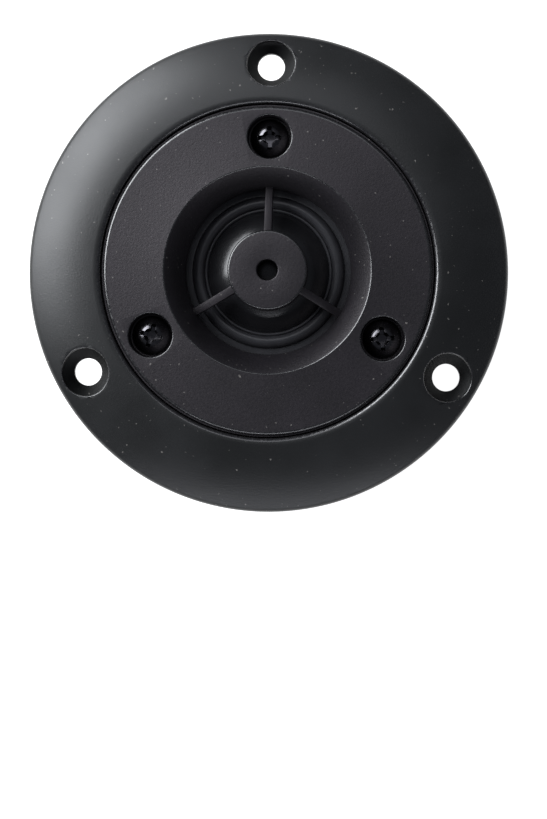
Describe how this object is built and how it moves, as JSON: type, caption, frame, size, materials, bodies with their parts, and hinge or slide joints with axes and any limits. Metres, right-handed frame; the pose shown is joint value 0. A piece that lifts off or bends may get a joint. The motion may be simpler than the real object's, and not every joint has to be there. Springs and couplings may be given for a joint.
{
  "type": "car tweeter",
  "caption": "Horn-loaded dome tweeter with a phase plug on three spokes, a round mounting flange with screw holes, a ferrite ring magnet and push-on terminals.",
  "frame": {"origin": "centre of the back plate's lower face, on the tweeter's axis; the tweeter lies on its back", "axes": "+Z the way the tweeter plays, out of the horn; +Y towards one of the three mounting holes; +X towards the positive terminal"},
  "size_m": [0.096, 0.096, 0.0323],
  "materials": {
    "zinc_steel": "zinc-plated steel",
    "aged_zinc_steel": "yellowed zinc plate on sheared steel",
    "ferrite": "ground ferrite, dark grey",
    "black_abs": "moulded ABS, satin",
    "black_abs_satin": "moulded ABS, fine matt grain",
    "dome_film": "formed polymer film, glossy",
    "surround_film": "formed polymer film, satin",
    "former_aluminium": "thin rolled foil",
    "enamelled_copper": "enamelled copper wire",
    "ring_plastic": "moulded carrier ring",
    "gasket_rubber": "thin sealing gasket",
    "felt": "pressed felt",
    "black_steel": "black-oxide steel with worn edges",
    "tinned_brass": "bright tinned brass",
    "tinned_wire": "tinned copper wire"
  },
  "bodies": {
    "driver_frame": {"back_plate": "zinc_steel", "pole_piece": "zinc_steel", "magnet": "ferrite", "top_plate": "aged_zinc_steel", "mounting_flange": "black_abs", "horn_plate": "black_abs_satin", "surround": "surround_film", "diaphragm_ring": "ring_plastic", "diaphragm_gasket": "gasket_rubber", "damping_pad": "felt", "assembly_screw_1": "black_steel", "assembly_screw_2": "black_steel", "assembly_screw_3": "black_steel", "terminal_positive": "tinned_brass", "terminal_negative": "tinned_brass", "lead_wire_positive": "tinned_wire", "lead_wire_negative": "tinned_wire", "coil_lead_positive": "enamelled_copper", "coil_lead_negative": "enamelled_copper"},
    "diaphragm": {"dome": "dome_film", "coil_former": "former_aluminium", "coil_winding": "enamelled_copper"}
  },
  "joints": [
    {"name": "coil_travel", "type": "slide", "parent": "driver_frame", "child": "diaphragm", "axis": [0, 0, 1], "range_m": [-0.0004, 0.0004], "stiffness_N_per_m": 4000, "deforming": ["surround", "coil_lead_positive", "coil_lead_negative"]}
  ]
}
